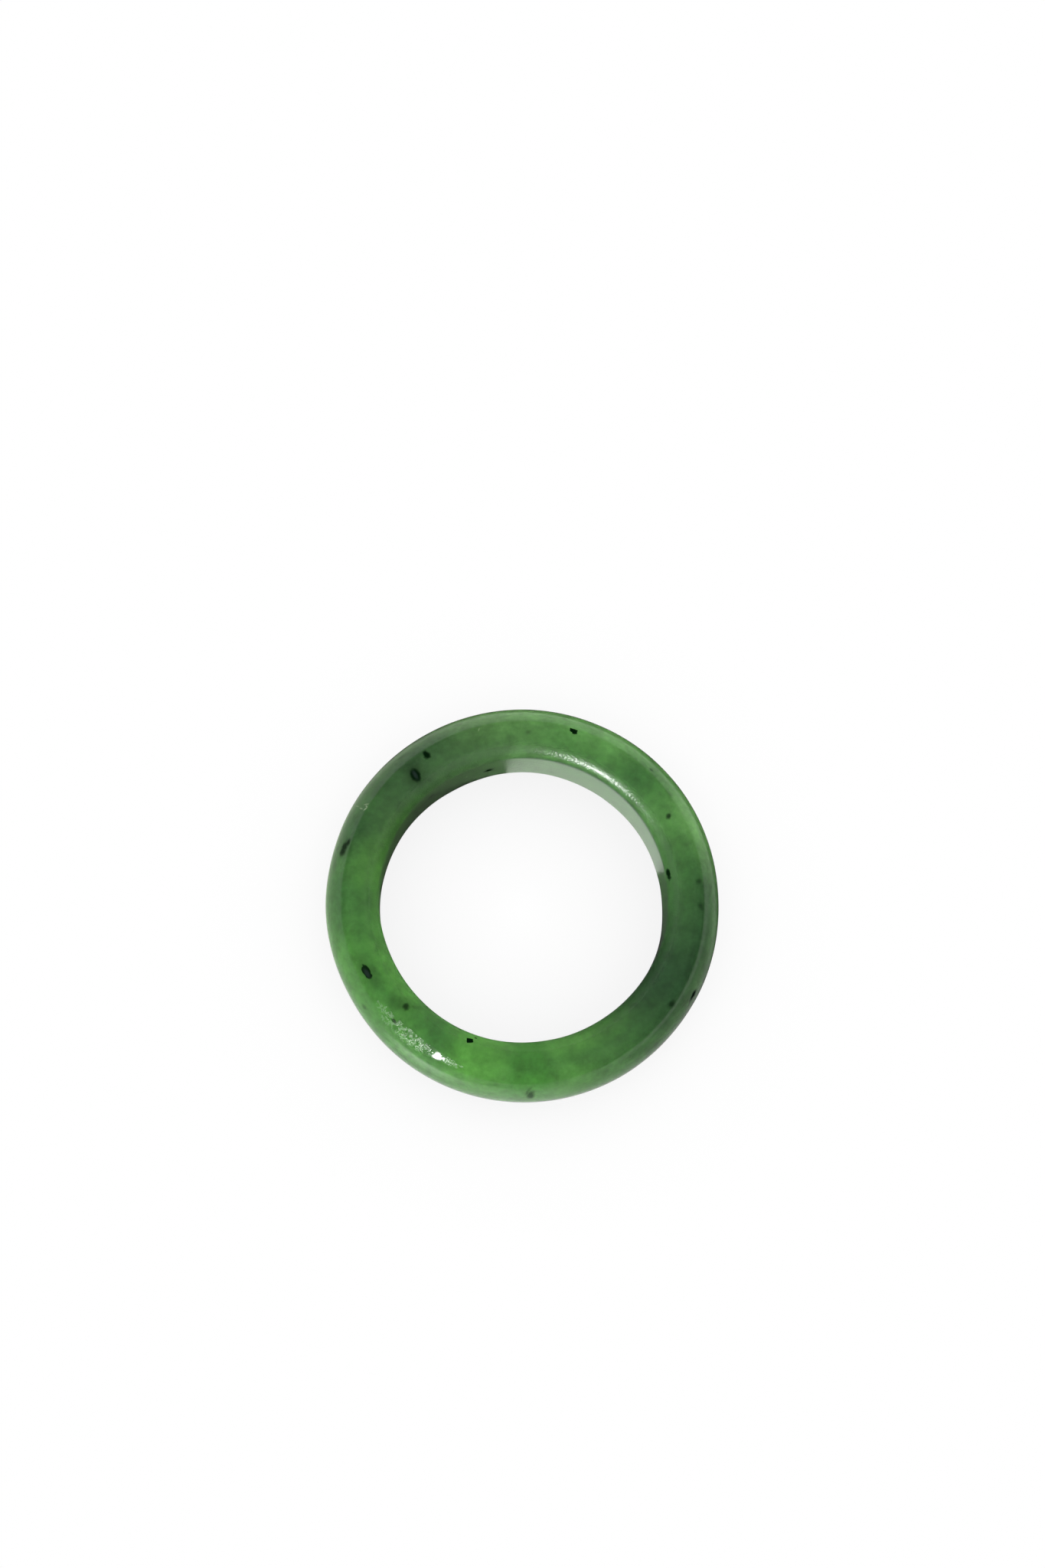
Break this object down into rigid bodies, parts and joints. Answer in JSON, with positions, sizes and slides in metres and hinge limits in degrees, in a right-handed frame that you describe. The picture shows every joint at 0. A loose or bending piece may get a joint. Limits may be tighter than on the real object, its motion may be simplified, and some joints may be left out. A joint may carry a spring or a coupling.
{
  "type": "jade finger ring",
  "caption": "Plain one-piece finger ring of polished green stone: a domed band with a straight bore and rounded mouths.",
  "frame": {"origin": "centre of the finger bore, halfway through the band's width", "axes": "+Z along the bore's axis, upright as the ring lies on its side; X and Y lie in the plane of the ring"},
  "size_m": [0.025, 0.025, 0.0058],
  "materials": {
    "jade": "polished, clouded mid green with dark inclusions"
  },
  "bodies": {
    "root": {"ring_band": "jade"}
  },
  "joints": []
}
